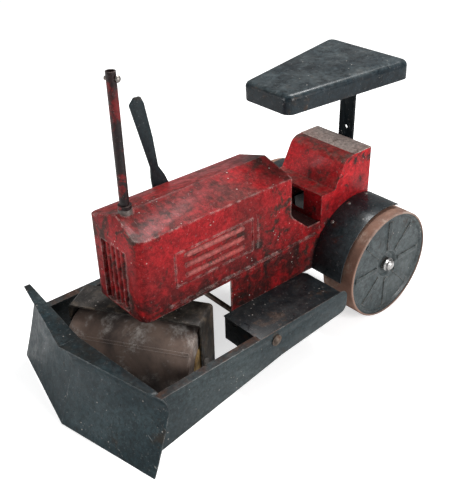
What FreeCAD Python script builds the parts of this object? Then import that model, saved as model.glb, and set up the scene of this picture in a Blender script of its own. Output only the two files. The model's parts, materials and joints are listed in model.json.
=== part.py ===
import FreeCAD, Part
import math
import os
import Sketcher

# A pressed-steel ride-on toy tractor with a V blade in front of its steered roller.
# Millimetres, +Z up, -Y forward, +X the tractor's left.  The origin is on the ground,
# under the middle of the whole object.

doc = FreeCAD.newDocument("ToyTractor")
sheet = doc.addObject("Spreadsheet::Sheet", "Sizes")


class Size:
    """A length with the sheet expression that gives it, so that a property can be bound to it."""

    def __init__(self, value, text):
        self.value = value
        self.text = text

    def __add__(self, other):
        return Size(self.value + num(other), "(%s + %s)" % (self.text, words(other)))

    def __sub__(self, other):
        return Size(self.value - num(other), "(%s - %s)" % (self.text, words(other)))

    def __mul__(self, other):
        return Size(self.value * num(other), "(%s * %s)" % (self.text, words(other)))

    def __truediv__(self, other):
        return Size(self.value / num(other), "(%s / %s)" % (self.text, words(other)))

    def __rsub__(self, other):
        return Size(num(other) - self.value, "(%s - %s)" % (words(other), self.text))

    def __neg__(self):
        return Size(-self.value, "(0 - %s)" % self.text)


def num(item):
    return item.value if isinstance(item, Size) else float(item)


def words(item):
    return item.text if isinstance(item, Size) else "(%.6f)" % item


def vec(x, y, z):
    return FreeCAD.Vector(num(x), num(y), num(z))


# ---------------------------------------------------------------- driving dimensions
SIZES = [
    # sheet metal and fits
    ("sheet_wall", 1.5), ("plate_wall", 3.0), ("arm_wall", 1.6), ("fit_gap", 0.05),
    # hood and body sides
    ("hood_half", 56.0), ("hood_front", -196.0), ("hood_rear", 72.0), ("hood_bottom", 139.0),
    ("eave_height", 264.0), ("ridge_height", 281.0), ("hip_run", 9.0), ("nose_round", 16.0),
    ("grille_half", 28.0), ("grille_low", 147.0), ("grille_high", 239.0), ("flute_radius", 3.6), ("grille_recess", 5.0),
    ("side_front", -47.0), ("side_low", 90.0), ("side_axle_low", 112.0),
    ("deck_height", 168.0), ("deck_front", 110.0), ("swoop_top", 204.0),
    ("rib_height", 150.0), ("rib_front", -153.0), ("rib_rear", 125.0), ("rib_proud", 1.8),
    ("louvre_front", -124.0), ("louvre_rear", -22.0), ("louvre_high", 219.5), ("louvre_step", 15.5),
    ("frame_front", -141.0), ("frame_rear", -4.0), ("frame_low", 175.5), ("frame_high", 228.0),
    # seat box
    ("box_half", 57.5), ("box_front", 136.0), ("box_ledge", 212.0), ("box_wall_foot", 165.5),
    ("box_wall_head", 189.0), ("box_top", 258.8), ("box_rear", 247.0), ("box_low", 150.0),
    ("box_round", 22.0), ("box_hole_half", 20.0), ("lid_front", 207.0),
    # seat
    ("seat_front", 70.0), ("seat_rear", 296.0), ("seat_front_half", 46.0), ("seat_rear_half", 82.0),
    ("seat_height", 394.0), ("seat_tilt", 3.0), ("seat_rim", 28.0), ("seat_round", 9.0),
    ("strut_half", 14.5), ("strut_thick", 4.0), ("strut_low", 175.0), ("strut_foot", 110.0),
    ("strut_hole", 3.5), ("bolt_radius", 3.0),
    # footplates
    ("foot_front", -63.0), ("foot_rear", 104.0), ("foot_outer", 136.4), ("foot_flange", 39.0),
    # steering, fork and roller
    ("steer_angle", 32.4), ("steer_line", -172.0), ("column_radius", 6.35), ("column_bore", 4.6),
    ("column_top", 464.0), ("fork_top", 124.0), ("fork_front", 10.0), ("fork_rear", 42.0),
    ("fork_half", 97.5), ("fork_low", 20.0), ("roller_radius", 54.0), ("roller_half", 91.0),
    ("roller_axle", 4.0), ("plug_radius", 30.0), ("bearing_height", 152.0),
    # rear wheels
    ("wheel_radius", 90.0), ("wheel_line", 216.0), ("wheel_outer", 136.0), ("wheel_width", 60.0),
    ("axle_radius", 6.0), ("hub_radius", 10.0), ("disc_inset", 5.0), ("rib_count", 8),
    # fenders
    ("fender_radius", 95.0), ("fender_outer", 118.0), ("fender_start", 69.0), ("fender_sweep", 111.0),
    # blade and its arms
    ("pivot_line", -37.0), ("pivot_height", 80.0), ("rod_radius", 4.0),
    ("arm_outer", 139.0), ("arm_top", 96.0), ("arm_rear", 112.0), ("arm_flange", 12.7),
    ("arm_nose_low", 7.0), ("arm_mid_low", 47.0), ("arm_rear_low", 57.0), ("arm_round", 14.0),
    ("blade_half", 163.0), ("blade_sweep", 0.215), ("blade_top", 128.0), ("blade_low", 3.0),
    ("blade_lip", -291.0), ("blade_waist", -277.0), ("blade_waist_height", 94.0), ("blade_toe", -306.0),
    ("flange_centre", 29.0), ("flange_end", 8.0), ("blade_corner", 14.0),
    # lift lever
    ("lever_line", -60.0), ("lever_thick", 4.0), ("lever_top", 397.0), ("lever_neck", 291.0),
]

for row, (alias, value) in enumerate(SIZES, start=1):
    sheet.set("A%d" % row, alias)
    sheet.set("B%d" % row, str(value))
    sheet.setAlias("B%d" % row, alias)
doc.recompute()
S = {alias: Size(value, "Sizes.%s" % alias) for alias, value in SIZES}


SEAT_DROP = Size(math.tan(math.radians(num(S["seat_tilt"]))), "tan(Sizes.seat_tilt)")
SEAT_COS = Size(math.cos(math.radians(num(S["seat_tilt"]))), "cos(Sizes.seat_tilt)")


def bind(item, prop, size):
    """Set a property and tie it to the sheet."""
    item.setExpression(prop, words(size))


# ---------------------------------------------------------------- helpers
def new_body(label):
    body = doc.addObject("PartDesign::Body", label)
    body.Label = label
    return body


def plane_of(body, role):
    return [item for item in body.Origin.OriginFeatures if item.Role == role][0]


def new_sketch(body, role, offset=0.0):
    sketch = body.newObject("Sketcher::SketchObject", body.Label + "_sketch")
    sketch.AttachmentSupport = (plane_of(body, role), [""])
    sketch.MapMode = "FlatFace"
    sketch.AttachmentOffset = FreeCAD.Placement(vec(0, 0, offset), FreeCAD.Rotation())
    if isinstance(offset, Size):
        bind(sketch, "AttachmentOffset.Base.z", offset)
    return sketch


def pin_point(sketch, edge, end, across, up):
    """Hold one end of a sketch edge, or a circle's centre, at a bound place."""
    for kind, size in (("DistanceX", across), ("DistanceY", up)):
        index = sketch.addConstraint(Sketcher.Constraint(kind, -1, 1, edge, end, num(size)))
        bind(sketch, "Constraints[%d]" % index, size)


def outline(sketch, points):
    """A closed outline with straight sides and bound corners."""
    first = sketch.GeometryCount
    ends = points[1:] + points[:1]
    for start, end in zip(points, ends):
        sketch.addGeometry(Part.LineSegment(vec(start[0], start[1], 0), vec(end[0], end[1], 0)), False)
    for step, (across, up) in enumerate(points):
        pin_point(sketch, first + step, 1, across, up)
        following = first + (step + 1) % len(points)
        sketch.addConstraint(Sketcher.Constraint("Coincident", first + step, 2, following, 1))


def box_outline(sketch, low, high):
    outline(sketch, [low, (high[0], low[1]), high, (low[0], high[1])])


def ring(sketch, centre, radius):
    edge = sketch.addGeometry(Part.Circle(vec(centre[0], centre[1], 0), vec(0, 0, 1), num(radius)), False)
    pin_point(sketch, edge, 3, centre[0], centre[1])
    index = sketch.addConstraint(Sketcher.Constraint("Radius", edge, num(radius)))
    bind(sketch, "Constraints[%d]" % index, radius)


def pad(body, sketch, length, reversed_way=False, both_ways=False):
    feature = body.newObject("PartDesign::Pad", body.Label + "_pad")
    feature.Profile = sketch
    feature.Midplane = both_ways
    feature.Reversed = reversed_way
    bind(feature, "Length", length)
    doc.recompute()
    return feature


def pocket(body, sketch, length, both_ways=False):
    """A pocket that cuts on whichever side of its sketch the metal lies."""
    before = body.Shape.Volume
    feature = body.newObject("PartDesign::Pocket", body.Label + "_pocket")
    feature.Profile = sketch
    feature.Midplane = both_ways
    bind(feature, "Length", length)
    doc.recompute()
    if body.Shape.Volume > before - 0.01:
        feature.Reversed = True
        doc.recompute()
    if body.Shape.Volume > before - 0.01:
        raise RuntimeError("a pocket in %s cuts nothing" % body.Label)
    return feature


def revolve(body, sketch):
    feature = body.newObject("PartDesign::Revolution", body.Label + "_turn")
    feature.Profile = sketch
    feature.ReferenceAxis = (sketch, ["V_Axis"])
    feature.Angle = 360.0
    doc.recompute()
    return feature


def mirror_across_middle(body, features):
    feature = body.newObject("PartDesign::Mirrored", body.Label + "_mirror")
    feature.Originals = features
    feature.MirrorPlane = (plane_of(body, "YZ_Plane"), [""])
    body.Tip = feature
    doc.recompute()
    return feature


def edges_where(shape, test):
    return ["Edge%d" % (i + 1) for i, edge in enumerate(shape.Edges) if test(edge)]


def faces_where(shape, test):
    return ["Face%d" % (i + 1) for i, face in enumerate(shape.Faces) if test(face)]


def runs_along(edge, axis):
    low, high = edge.Vertexes[0].Point, edge.Vertexes[-1].Point
    step = high - low
    return step.Length > 0.1 and abs(abs(step.normalize().dot(axis)) - 1.0) < 1e-6


def near(value, size, slack=0.05):
    return abs(value - num(size)) < slack


def fillet(body, test, radius):
    base = body.Tip
    feature = body.newObject("PartDesign::Fillet", body.Label + "_round")
    feature.Base = (base, edges_where(base.Shape, test))
    bind(feature, "Radius", radius)
    doc.recompute()
    return feature


def hollow_out(body, test, wall):
    base = body.Tip
    feature = body.newObject("PartDesign::Thickness", body.Label + "_wall")
    feature.Base = (base, faces_where(base.Shape, test))
    feature.Reversed = True
    bind(feature, "Value", wall)
    doc.recompute()
    return feature


X_AXIS = FreeCAD.Vector(1, 0, 0)
Y_AXIS = FreeCAD.Vector(0, 1, 0)
Z_AXIS = FreeCAD.Vector(0, 0, 1)
ALONG_X = FreeCAD.Rotation(Y_AXIS, 90)
ALONG_MINUS_X = FreeCAD.Rotation(Y_AXIS, -90)
ALONG_Y = FreeCAD.Rotation(X_AXIS, -90)
NO_TURN = FreeCAD.Rotation()


def cylinder(label, radius, height, place, turn=NO_TURN):
    item = doc.addObject("Part::Cylinder", label)
    item.Label = label
    bind(item, "Radius", radius)
    bind(item, "Height", height)
    item.Placement = FreeCAD.Placement(place, turn)
    return item


def cut(label, base, tool):
    item = doc.addObject("Part::Cut", label)
    item.Label = label
    item.Base = base
    item.Tool = tool
    doc.recompute()
    return item


def tube(label, outer, inner, height, place, turn=NO_TURN):
    shell = cylinder(label + "_outside", outer, height, place, turn)
    bore = cylinder(label + "_bore", inner, height, place, turn)
    return cut(label, shell, bore)


def flat_plate(label, role, points, thick, offset=0.0, holes=(), reversed_way=False):
    """A plate cut to an outline on one of the origin planes."""
    body = new_body(label)
    sketch = new_sketch(body, role, offset)
    outline(sketch, points)
    for across, up, radius in holes:
        ring(sketch, (across, up), radius)
    pad(body, sketch, thick, reversed_way)
    return body


def group(label, shapes):
    """Separate identical solids in one node."""
    item = doc.addObject("Part::Feature", label)
    item.Label = label
    item.Shape = Part.makeCompound(shapes)
    return item


def hexagon(across, height, place, way):
    """A hexagonal nut or bolt head that starts at a place and points a way."""
    turn = FreeCAD.Rotation(Z_AXIS, way)
    corners = []
    for step in range(7):
        angle = math.radians(60 * step)
        corners.append(vec(math.cos(angle), math.sin(angle), 0) * (num(across) / math.sqrt(3.0)))
    prism = Part.Face(Part.makePolygon(corners)).extrude(vec(0, 0, height))
    prism.Placement = FreeCAD.Placement(place, turn)
    return prism


def dome(radius, height, place, way):
    """A low domed rivet head that starts at a place and points a way."""
    radius, height = num(radius), num(height)
    ball_radius = (radius * radius + height * height) / (2.0 * height)
    ball = Part.makeSphere(ball_radius, vec(0, 0, height - ball_radius))
    keep = Part.makeCylinder(radius, height, vec(0, 0, 0), Z_AXIS)
    head = ball.common(keep)
    head.Placement = FreeCAD.Placement(place, FreeCAD.Rotation(Z_AXIS, way))
    return head


parts = []
SIDES = ((1, "left"), (-1, "right"))
wall = S["sheet_wall"]


def keep(item):
    parts.append(item)
    return item


# ---------------------------------------------------------------- hood and body sides, one folded sheet
def roof_fall():
    """How far the hood's roof drops for each millimetre out from its ridge."""
    return (S["ridge_height"] - S["eave_height"]) / S["hood_half"]


def side_rear():
    return S["box_rear"] - wall


def hood_block(label, inset):
    """The hood's solid form, or the same form drawn in by a wall to make its hollow."""
    body = new_body(label)
    half = S["hood_half"] - inset
    front = S["hood_front"] + inset
    ridge = S["ridge_height"] - inset
    rear = S["hood_rear"] + inset * 4
    plan = new_sketch(body, "XY_Plane", S["hood_bottom"] + inset)
    box_outline(plan, (-half, front), (half, rear))
    pad(body, plan, ridge - S["hood_bottom"] - inset)
    fillet(body, lambda e: runs_along(e, Z_AXIS) and near(e.Vertexes[0].Y, front), S["nose_round"] - inset)
    fillet(body, lambda e: near(e.BoundBox.ZMax, S["hood_bottom"] + inset) and e.BoundBox.YMin < num(front) + 0.5,
           S["nose_round"] * 0.4 - inset)
    over = S["ridge_height"] + 10
    roof = new_sketch(body, "XZ_Plane")
    for sign in (1, -1):
        outline(roof, [(0, ridge), ((half + 5) * sign, ridge - roof_fall() * (half + 5)),
                       ((half + 5) * sign, over), (0, over)])
    pocket(body, roof, S["hood_rear"] * 10, both_ways=True)
    slope = (S["ridge_height"] - S["eave_height"]) / S["hip_run"]
    hip = new_sketch(body, "YZ_Plane")
    outline(hip, [(front - 5, S["eave_height"] - slope * 5), (front - 5, over),
                  (front + S["hip_run"] + Size(10, "10") / slope, over)])
    pocket(body, hip, half * 4, both_ways=True)
    return body


def make_hood():
    body = hood_block("hood_shell", Size(0, "0"))
    half = S["hood_half"]
    hollow = body.newObject("PartDesign::Boolean", "hood_hollow")
    hollow.setObjects([hood_block("hood_core", wall)])
    hollow.Type = "Cut"
    body.Tip = hollow
    doc.recompute()
    under = new_sketch(body, "XY_Plane", S["hood_bottom"] - 5)
    box_outline(under, (wall - half, S["hood_front"] + S["nose_round"] * 0.7), (half - wall, S["hood_rear"] + 5))
    pocket(body, under, wall + 7)
    grille = new_sketch(body, "XZ_Plane", 5 - S["hood_front"])
    box_outline(grille, (-S["grille_half"], S["grille_low"]), (S["grille_half"], S["grille_high"]))
    pocket(body, grille, wall + 6)
    bush_hole = new_sketch(body, "XY_Plane", S["ridge_height"] + 5)
    ring(bush_hole, (0, S["steer_line"]), S["column_radius"] + wall * 2)
    pocket(body, bush_hole, wall + 18)

    side = new_sketch(body, "YZ_Plane", half - wall)
    low = S["side_low"] - wall
    outline(side, [(S["side_front"], low), (S["box_front"] - 6, low),
                   (S["box_front"] + 24, S["side_axle_low"]), (side_rear(), S["side_axle_low"]),
                   (side_rear(), S["deck_height"]), (S["box_front"] + wall, S["deck_height"]),
                   (S["box_front"] + wall, S["box_low"]), (S["box_front"], S["box_low"]),
                   (S["box_front"], S["deck_height"]), (S["deck_front"], S["deck_height"]),
                   (S["hood_rear"] + 7, S["swoop_top"] - 10), (S["hood_rear"], S["swoop_top"]),
                   (S["hood_rear"] - 4, S["swoop_top"]), (S["hood_rear"] - 4, S["rib_height"]),
                   (S["side_front"], S["rib_height"])])
    side_pad = pad(body, side, wall)
    ribs = new_sketch(body, "YZ_Plane", half)
    box_outline(ribs, (S["rib_front"], S["rib_height"] - 1.6), (S["rib_rear"], S["rib_height"] + 1.6))
    rib_pad = pad(body, ribs, S["rib_proud"])
    louvres = new_sketch(body, "YZ_Plane", half)
    for step in range(3):
        middle = S["louvre_high"] - S["louvre_step"] * step
        box_outline(louvres, (S["louvre_front"], middle - 2.4), (S["louvre_rear"], middle + 2.4))
    louvre_pad = pad(body, louvres, S["rib_proud"] * 1.3)
    frame = new_sketch(body, "YZ_Plane", half)
    line = wall
    box_outline(frame, (S["frame_front"], S["frame_low"]), (S["frame_rear"], S["frame_high"]))
    box_outline(frame, (S["frame_front"] + line, S["frame_low"] + line),
                (S["frame_rear"] - line, S["frame_high"] - line))
    box_outline(frame, (S["frame_rear"] + 9, S["frame_low"]), (S["frame_rear"] + 9 + line, S["frame_high"]))
    frame_pad = pad(body, frame, S["rib_proud"] / 2)
    mirror_across_middle(body, [side_pad, rib_pad, louvre_pad, frame_pad])
    return keep(body)


def make_grille():
    """A shallow tray with upright half-round flutes, behind the opening in the nose."""
    body = new_body("grille_panel")
    front = S["hood_front"] + wall
    floor = front + S["grille_recess"]
    half, low, high = S["grille_half"], S["grille_low"], S["grille_high"]
    rim = new_sketch(body, "XZ_Plane", -floor)
    box_outline(rim, (-half - wall, low - wall), (half + wall, high + wall))
    box_outline(rim, (-half, low), (half, high))
    pad(body, rim, S["grille_recess"])
    back = new_sketch(body, "XZ_Plane", -floor - wall)
    box_outline(back, (-half - wall, low - wall), (half + wall, high + wall))
    pad(body, back, wall)
    flutes = new_sketch(body, "XY_Plane", low - wall / 2)
    pitch = half * 2 / 5
    for step in range(5):
        ring(flutes, (pitch * (step - 2), floor + wall / 2), S["flute_radius"])
    pad(body, flutes, high - low + wall)
    return keep(body)


def make_bulkheads():
    inner = S["hood_half"] - wall
    keep(flat_plate("hood_bulkhead", "XZ_Plane",
                    [(-inner, S["deck_height"]), (inner, S["deck_height"]), (inner, S["eave_height"] - wall * 3),
                     (0, S["ridge_height"] - wall * 3), (-inner, S["eave_height"] - wall * 3)],
                    wall, -S["hood_rear"] + 2))
    keep(flat_plate("footwell_floor", "XY_Plane",
                    [(-inner, S["hood_rear"] - 2), (inner, S["hood_rear"] - 2),
                     (inner, S["box_front"]), (-inner, S["box_front"])],
                    wall, S["deck_height"] - wall * 2))
    keep(flat_plate("chassis_crossmember", "XZ_Plane",
                    [(-inner, S["side_low"]), (inner, S["side_low"]),
                     (inner, S["rib_height"] - 10), (-inner, S["rib_height"] - 10)],
                    S["plate_wall"], -S["box_front"] + 30))
    keep(flat_plate("chassis_rear_panel", "XZ_Plane",
                    [(-inner, S["side_axle_low"]), (inner, S["side_axle_low"]),
                     (inner, S["box_low"]), (-inner, S["box_low"])],
                    wall, -side_rear()))


# ---------------------------------------------------------------- seat box, strut and seat
def make_seat_box():
    body = new_body("seat_box")
    sketch = new_sketch(body, "YZ_Plane")
    outline(sketch, [(S["box_front"], S["box_low"]), (S["box_rear"], S["box_low"]),
                     (S["box_rear"], S["box_top"]), (S["box_wall_head"], S["box_top"]),
                     (S["box_wall_foot"], S["box_ledge"]), (S["box_front"], S["box_ledge"])])
    pad(body, sketch, S["box_half"] * 2, both_ways=True)
    fillet(body, lambda e: runs_along(e, X_AXIS) and near(e.Vertexes[0].Y, S["box_wall_head"])
           and near(e.Vertexes[0].Z, S["box_top"]), S["box_round"])
    hollow_out(body, lambda f: near(f.CenterOfMass.z, S["box_low"]), wall)
    hole = new_sketch(body, "XZ_Plane", -S["box_front"] + 5)
    box_outline(hole, (-S["box_hole_half"], S["deck_height"] + 6), (S["box_hole_half"], S["box_ledge"] - 5))
    pocket(body, hole, Size(5, "5") + wall * 2)
    for rise in strut_bolt_heights():
        bolt_hole = new_sketch(body, "XZ_Plane", -S["box_rear"] - 5)
        ring(bolt_hole, (0, rise), S["bolt_radius"] + S["fit_gap"])
        pocket(body, bolt_hole, Size(8, "8"))
    keep(body)
    keep(flat_plate("seat_box_lid", "XY_Plane",
                    [(-S["box_half"], S["lid_front"]), (S["box_half"], S["lid_front"]),
                     (S["box_half"], S["box_rear"]), (-S["box_half"], S["box_rear"])],
                    wall * 0.8, S["box_top"]))


def strut_bolt_heights():
    return [S["strut_low"] + 30, S["strut_low"] + 65]


def strut_front():
    return S["box_rear"] + 3.2


def seat_roof(reach):
    """Height of the seat pan's inner roof at a place along the tractor."""
    return S["seat_height"] - wall / SEAT_COS - (S["seat_rear"] - reach) * SEAT_DROP


def make_strut():
    """A flat bar bolted behind the box and bent forward under the seat."""
    bar = new_body("seat_strut")
    front, thick = strut_front(), S["strut_thick"]
    upright = new_sketch(bar, "XZ_Plane", -front - thick)
    box_outline(upright, (-S["strut_half"], S["strut_low"]), (S["strut_half"], seat_roof(front)))
    for rise in strut_bolt_heights():
        ring(upright, (0, rise), S["bolt_radius"] + S["fit_gap"])
    ring(upright, (0, S["strut_low"] + 100), S["strut_hole"])
    pad(bar, upright, thick)
    foot = new_sketch(bar, "YZ_Plane")
    heel, tip = front + 0.5, front - S["strut_foot"]
    outline(foot, [(heel, seat_roof(heel) - thick), (heel, seat_roof(heel)),
                   (tip, seat_roof(tip)), (tip, seat_roof(tip) - thick)])
    pad(bar, foot, S["strut_half"] * 2, both_ways=True)
    keep(bar)
    spacers = [tube("strut_spacer_%d" % step, S["bolt_radius"] * 2, S["bolt_radius"] + S["fit_gap"],
                    front - S["box_rear"], vec(0, S["box_rear"], rise), ALONG_Y).Shape
               for step, rise in enumerate(strut_bolt_heights())]
    keep(group("strut_spacers", spacers))
    bolts = []
    nuts = []
    for rise in strut_bolt_heights():
        shank_start = S["box_rear"] - wall - 5
        shank = Part.makeCylinder(num(S["bolt_radius"]), num(front + thick - shank_start),
                                  vec(0, shank_start, rise), Y_AXIS)
        head = hexagon(10, 4, vec(0, front + thick, rise), Y_AXIS)
        bolts.append(shank.fuse(head).removeSplitter())
        nut = hexagon(10, 4.5, vec(0, S["box_rear"] - wall, rise), -Y_AXIS)
        bore = Part.makeCylinder(num(S["bolt_radius"]), 10, vec(0, S["box_rear"], rise), -Y_AXIS)
        nuts.append(nut.cut(bore))
    keep(group("strut_bolts", bolts))
    keep(group("strut_nuts", nuts))


def make_seat():
    """A pressed pan, narrow in front, rounded all round and tilted a little forward."""
    body = new_body("seat_pan")
    sketch = new_sketch(body, "XY_Plane")
    length = S["seat_rear"] - S["seat_front"]
    outline(sketch, [(-S["seat_front_half"], -length), (S["seat_front_half"], -length),
                     (S["seat_rear_half"], 0), (-S["seat_rear_half"], 0)])
    pad(body, sketch, S["seat_rim"], reversed_way=True)
    fillet(body, lambda e: runs_along(e, Z_AXIS), S["seat_round"] * 1.5)
    fillet(body, lambda e: e.BoundBox.ZMin > -0.05, S["seat_round"])
    hollow_out(body, lambda f: near(f.CenterOfMass.z, -S["seat_rim"]), wall)
    body.Placement = FreeCAD.Placement(vec(0, S["seat_rear"], S["seat_height"]),
                                       FreeCAD.Rotation(X_AXIS, num(S["seat_tilt"])))
    bind(body, "Placement.Base.y", S["seat_rear"])
    bind(body, "Placement.Base.z", S["seat_height"])
    keep(body)
    tilt = math.radians(num(S["seat_tilt"]))
    rivets = []
    for across in (-0.5, 0.5):
        for back in (20, S["strut_foot"] - 12):
            reach = strut_front() - back
            place = vec(S["strut_half"] * across, reach, seat_roof(reach) - S["strut_thick"])
            rivets.append(dome(4, 2.2, place, vec(0, math.sin(tilt), -math.cos(tilt))))
    keep(group("seat_rivets", rivets))


# ---------------------------------------------------------------- footplates and rod brackets
def make_footplates():
    for sign, name in SIDES:
        inner = S["hood_half"]
        body = new_body("footplate_" + name)
        top = new_sketch(body, "XY_Plane", S["side_low"] - wall)
        corners = [(inner * sign, S["foot_front"]), (inner * sign, S["foot_rear"]),
                   (S["foot_outer"] * sign, S["foot_rear"]), (S["foot_outer"] * sign, S["foot_front"])]
        if sign < 0:
            slot_front, slot_rear = S["pivot_line"] - 22, S["pivot_line"] + 26
            slot_deep = S["lever_line"] - S["lever_thick"] - 4
            corners = [(-inner, S["foot_front"]), (-inner, slot_front), (slot_deep, slot_front),
                       (slot_deep, slot_rear), (-inner, slot_rear)] + corners[1:]
        outline(top, corners)
        pad(body, top, wall)
        flange = new_sketch(body, "XZ_Plane", -S["foot_front"] - wall)
        box_outline(flange, (S["foot_outer"] * sign, S["side_low"] - S["foot_flange"]),
                    ((inner + 3) * sign, S["side_low"] - wall * 0.5))
        pad(body, flange, wall)
        fillet(body, lambda e: runs_along(e, Z_AXIS) and near(e.Vertexes[0].Y, S["foot_rear"])
               and near(abs(e.Vertexes[0].X), inner), S["seat_round"])
        keep(body)
        middle = (S["hood_half"] + S["arm_outer"]) / 2
        hanger = flat_plate("rod_bracket_" + name, "YZ_Plane",
                            [(S["pivot_line"] - 14, S["side_low"] - wall), (S["pivot_line"] - 9, S["pivot_height"] - 12),
                             (S["pivot_line"] + 9, S["pivot_height"] - 12), (S["pivot_line"] + 14, S["side_low"] - wall)],
                            S["plate_wall"], middle * sign,
                            [(S["pivot_line"], S["pivot_height"], S["rod_radius"] + S["fit_gap"])])
        keep(hanger)


# ---------------------------------------------------------------- fenders and rear axle
def make_fenders():
    rivets = []
    for sign, name in SIDES:
        inner = S["box_half"]
        width = S["fender_outer"] - inner
        turn = ALONG_X if sign > 0 else ALONG_MINUS_X
        outside = cylinder("fender_outside_" + name, S["fender_radius"] + wall, width,
                           vec(inner * sign, S["wheel_line"], S["wheel_radius"]), fender_turn(sign, turn))
        inside = cylinder("fender_inside_" + name, S["fender_radius"], width,
                          vec(inner * sign, S["wheel_line"], S["wheel_radius"]), fender_turn(sign, turn))
        for item in (outside, inside):
            bind(item, "Angle", S["fender_sweep"])
        keep(cut("fender_" + name, outside, inside))
        for angle in (80, 105, 130):
            rise = math.radians(angle)
            reach = num(S["fender_radius"]) + num(wall)
            place = vec(num(inner + 8) * sign, num(S["wheel_line"]) + reach * math.cos(rise),
                        num(S["wheel_radius"]) + reach * math.sin(rise))
            rivets.append(dome(3.2, 1.6, place, vec(0, math.cos(rise), math.sin(rise))))
    keep(group("fender_rivets", rivets))


def fender_turn(sign, turn):
    """Turn a cylinder's own X axis to the sector's first edge."""
    if sign > 0:
        first = num(S["fender_start"]) + 90.0
        return turn.multiply(FreeCAD.Rotation(Z_AXIS, first))
    first = 90.0 - num(S["fender_start"]) - num(S["fender_sweep"])
    return turn.multiply(FreeCAD.Rotation(Z_AXIS, first))


def make_axle():
    reach = S["wheel_outer"] - S["disc_inset"] + 1
    keep(cylinder("rear_axle", S["axle_radius"], reach * 2, vec(-reach, S["wheel_line"], S["wheel_radius"]), ALONG_X))
    hub_inner = S["wheel_outer"] - S["wheel_width"] + 2
    for sign, name in SIDES:
        inner = S["hood_half"] - wall - S["plate_wall"]
        keep(flat_plate("axle_bracket_" + name, "YZ_Plane",
                        [(S["wheel_line"] - 26, S["box_low"]), (S["wheel_line"] - 14, S["wheel_radius"] - 14),
                         (S["wheel_line"] + 14, S["wheel_radius"] - 14), (S["wheel_line"] + 26, S["box_low"])],
                        S["plate_wall"], inner * sign,
                        [(S["wheel_line"], S["wheel_radius"], S["axle_radius"])], reversed_way=sign < 0))
        turn = ALONG_X if sign > 0 else ALONG_MINUS_X
        start = S["hood_half"] - wall
        keep(tube("axle_spacer_" + name, S["axle_radius"] + 3, S["axle_radius"], hub_inner - start - 0.5,
                  vec(start * sign, S["wheel_line"], S["wheel_radius"]), turn))
        cap = new_body("cap_nut_" + name)
        profile = new_sketch(cap, "XZ_Plane")
        outline(profile, [(0, 0), (11, 0), (11, 2), (9, 4), (8, 7), (5, 9), (0, 9.6)])
        revolve(cap, profile)
        cap.Placement = FreeCAD.Placement(vec(reach * sign, S["wheel_line"], S["wheel_radius"]), turn)
        keep(cap)


# ---------------------------------------------------------------- rear wheels
def make_wheels():
    half = S["wheel_width"] / 2
    rim = S["wheel_radius"] - wall
    for sign, name in SIDES:
        turn = ALONG_X if sign > 0 else ALONG_MINUS_X
        place = FreeCAD.Placement(vec((S["wheel_outer"] - half) * sign, S["wheel_line"], S["wheel_radius"]), turn)

        tread = new_body("wheel_tread_" + name)
        profile = new_sketch(tread, "XZ_Plane")
        outline(profile, [(rim - 1.5, -half), (S["wheel_radius"] - 1, -half), (S["wheel_radius"], 1.2 - half),
                          (S["wheel_radius"], half - 1.2), (S["wheel_radius"] - 1, half), (rim - 1.5, half),
                          (rim - 1.5, half - wall), (rim, half - wall), (rim, wall - half), (rim - 1.5, wall - half)])
        revolve(tread, profile)

        outer = new_body("wheel_disc_outer_" + name)
        face = half - S["disc_inset"]
        profile = new_sketch(outer, "XZ_Plane")
        outline(profile, [(S["hub_radius"], face - wall - 4), (S["hub_radius"], face - 4), (18, face - 4), (22, face),
                          (rim - 8, face), (rim - 5, half - wall), (rim, half - wall), (rim, half - wall * 2),
                          (rim - 4, half - wall * 2), (rim - 7, face - wall), (23, face - wall), (19, face - wall - 4)])
        revolve(outer, profile)
        ribs = new_sketch(outer, "XY_Plane", face - wall / 2)
        box_outline(ribs, (26, -4), (rim - 12, 4))
        rib = pad(outer, ribs, wall / 2 + 1.6)
        spread = outer.newObject("PartDesign::PolarPattern", "wheel_ribs_" + name)
        spread.Originals = [rib]
        spread.Axis = (ribs, ["N_Axis"])
        spread.Angle = 360.0
        bind(spread, "Occurrences", S["rib_count"])
        outer.Tip = spread
        doc.recompute()

        inner = new_body("wheel_disc_inner_" + name)
        profile = new_sketch(inner, "XZ_Plane")
        outline(profile, [(S["hub_radius"], 4 - half), (rim, 4 - half), (rim, 4 - half + wall),
                          (S["hub_radius"], 4 - half + wall)])
        revolve(inner, profile)

        hub = new_body("wheel_hub_" + name)
        profile = new_sketch(hub, "XZ_Plane")
        bore = S["axle_radius"] + S["fit_gap"]
        outline(profile, [(bore, 2 - half), (S["hub_radius"], 2 - half), (S["hub_radius"], face - 1),
                          (bore, face - 1)])
        revolve(hub, profile)
        for item in (tread, outer, inner, hub):
            item.Placement = place
            keep(item)


# ---------------------------------------------------------------- steering column, fork and roller
def steer_place(across=0.0, behind=0.0, height=0.0, turn=NO_TURN):
    """A place in the turned steering frame: across along the roller, behind it, and up."""
    turned = FreeCAD.Rotation(Z_AXIS, num(S["steer_angle"]))
    base = FreeCAD.Placement(vec(0, S["steer_line"], 0), turned)
    return base.multiply(FreeCAD.Placement(vec(across, behind, height), turn))


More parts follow.
